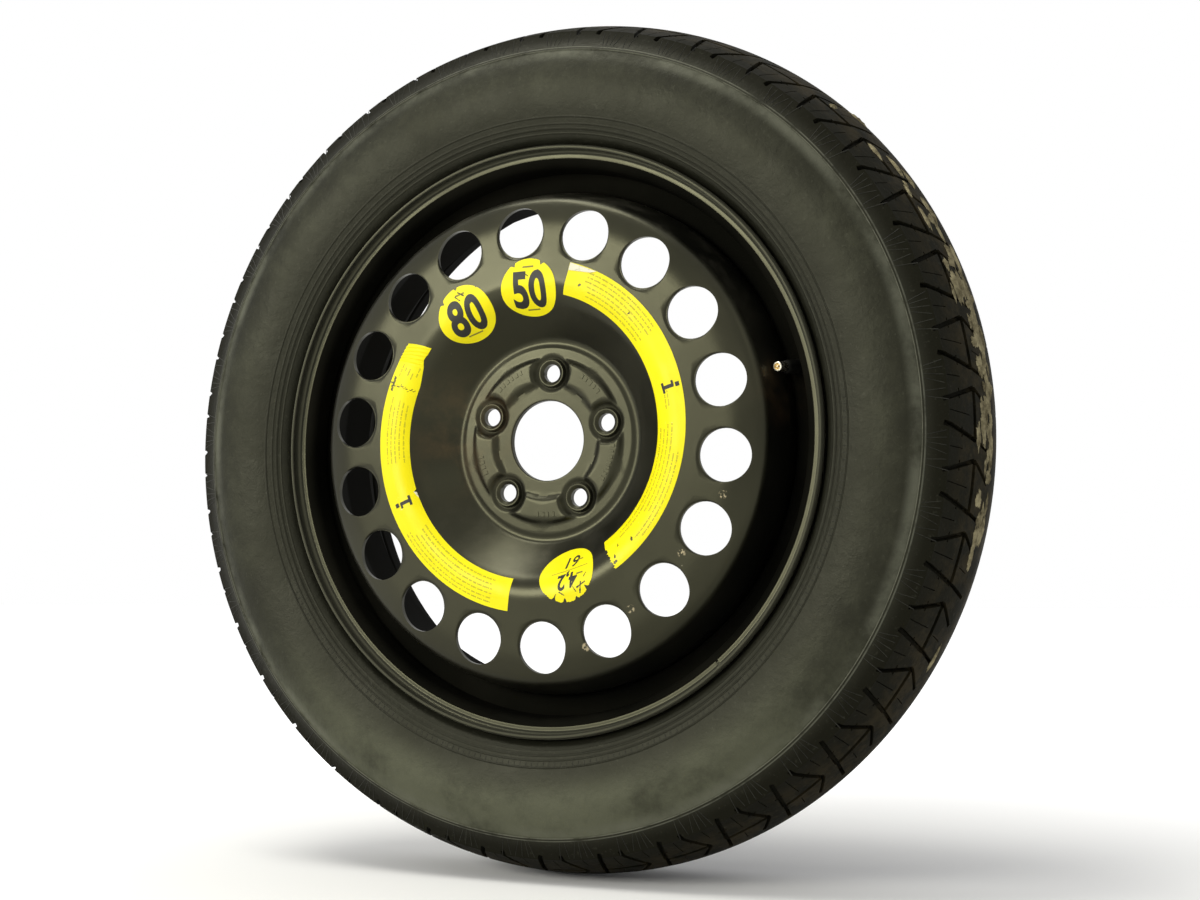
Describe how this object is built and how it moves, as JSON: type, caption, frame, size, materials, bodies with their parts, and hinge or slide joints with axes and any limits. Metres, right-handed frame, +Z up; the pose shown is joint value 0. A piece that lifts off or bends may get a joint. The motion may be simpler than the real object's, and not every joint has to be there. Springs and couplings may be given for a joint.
{
  "type": "space saver spare wheel",
  "caption": "Narrow temporary-use spare car wheel: black pressed-steel disc and rim with round vents, yellow stickers, a snap-in rubber valve and a treaded tyre.",
  "frame": {"origin": "the wheel's centre: the axle line at the rim's middle plane", "axes": "+Y along the axle line, from the dished outboard face towards the inboard side; +Z up; the wheel spins about +Y"},
  "size_m": [0.722, 0.1641, 0.722],
  "materials": {
    "black_paint": "satin black dip paint over steel",
    "painted_weld": "rough weld under black paint",
    "tyre_rubber": "matte moulded rubber, dusty",
    "valve_rubber": "smooth black rubber",
    "nickel": "bright nickel plate",
    "brass": "turned brass",
    "seal_ring": "red sealing ring",
    "spring_steel": "spring wire",
    "yellow_sticker": "bright yellow vinyl, scuffed"
  },
  "bodies": {
    "wheel": {"rim": "black_paint", "disc_hub": "black_paint", "disc": "black_paint", "disc_skirt": "black_paint", "disc_welds": "painted_weld", "tyre": "tyre_rubber", "valve_body": "valve_rubber", "valve_stem": "nickel", "core_housing": "brass", "core_seal": "seal_ring", "core_spring": "spring_steel", "label_speed_80": "yellow_sticker", "label_speed_50": "yellow_sticker", "label_pressure": "yellow_sticker", "label_notice_left": "yellow_sticker", "label_notice_right": "yellow_sticker"},
    "valve_pin": {"core_pin": "nickel", "core_cup": "brass", "core_cup_seal": "valve_rubber"}
  },
  "joints": [
    {"name": "valve_pin_press", "type": "slide", "parent": "wheel", "child": "valve_pin", "axis": [0.2678, 0.9613, 0.0653], "range_m": [0, 0.0015], "stiffness_N_per_m": 1200, "springref_m": -0.002, "deforming": ["core_spring"]}
  ]
}
